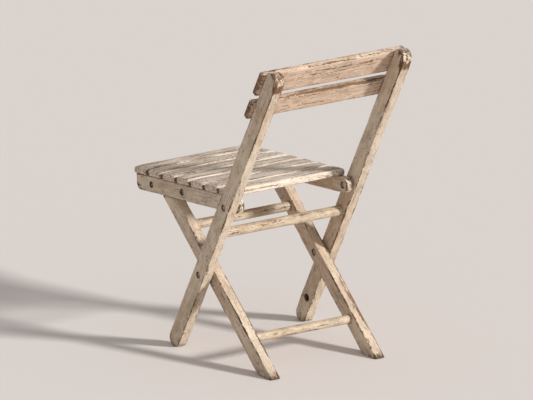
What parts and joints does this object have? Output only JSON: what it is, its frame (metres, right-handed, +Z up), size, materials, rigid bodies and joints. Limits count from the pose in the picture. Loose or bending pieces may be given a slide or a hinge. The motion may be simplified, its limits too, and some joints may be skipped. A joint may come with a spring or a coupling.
{
  "type": "peeling paint folding chair",
  "caption": "Weathered slatted wooden folding side chair with crossing legs, a hinged slat seat, a two-slat back and flaking cream paint; its lower front rung is missing.",
  "frame": {"origin": "on the floor, under the middle of the chair's whole length and width", "axes": "+Z up, the chair faces -Y, +X to the sitter's left"},
  "size_m": [0.438, 0.6818, 0.8191],
  "materials": {
    "peeling_cream_paint": "chalky cream paint, flaking to brown wood",
    "worn_slat_paint": "cream paint worn thin along the grain, bare grey-brown wood showing",
    "rusty_steel": "painted over steel with rust"
  },
  "bodies": {
    "frame": {"left_post": "peeling_cream_paint", "right_post": "peeling_cream_paint", "upper_back_slat": "worn_slat_paint", "lower_back_slat": "worn_slat_paint", "post_rung": "peeling_cream_paint", "back_slat_screws": "rusty_steel", "left_leg_rivet": "rusty_steel", "right_leg_rivet": "rusty_steel", "left_seat_rivet": "rusty_steel", "right_seat_rivet": "rusty_steel", "left_leg_washer": "rusty_steel", "right_leg_washer": "rusty_steel", "left_seat_washer": "rusty_steel", "right_seat_washer": "rusty_steel"},
    "legs": {"left_leg": "peeling_cream_paint", "right_leg": "peeling_cream_paint", "upper_leg_rung": "peeling_cream_paint", "lower_leg_rung": "peeling_cream_paint"},
    "seat": {"left_seat_rail": "peeling_cream_paint", "right_seat_rail": "peeling_cream_paint", "seat_slat_1": "worn_slat_paint", "seat_slat_2": "worn_slat_paint", "seat_slat_3": "worn_slat_paint", "seat_slat_4": "worn_slat_paint", "seat_slat_5": "worn_slat_paint", "seat_slat_6": "worn_slat_paint", "seat_slat_7": "worn_slat_paint", "front_cross_rung": "peeling_cream_paint", "middle_cross_rung": "peeling_cream_paint", "cross_rung_screws": "rusty_steel", "seat_nails": "rusty_steel"}
  },
  "joints": [
    {"name": "seat_fold", "type": "hinge", "parent": "frame", "child": "seat", "pos_m": [0, 0.10848, 0.41802], "axis": [-1, 0, 0], "range_deg": [0, 104]},
    {"name": "leg_fold", "type": "hinge", "parent": "frame", "child": "legs", "pos_m": [0, -0.00434, 0.2145], "axis": [-1, 0, 0], "range_deg": [0, 62.4]}
  ],
  "couplings": [
    {"joint": "leg_fold", "follows": "seat_fold", "ratio": 0.6}
  ]
}
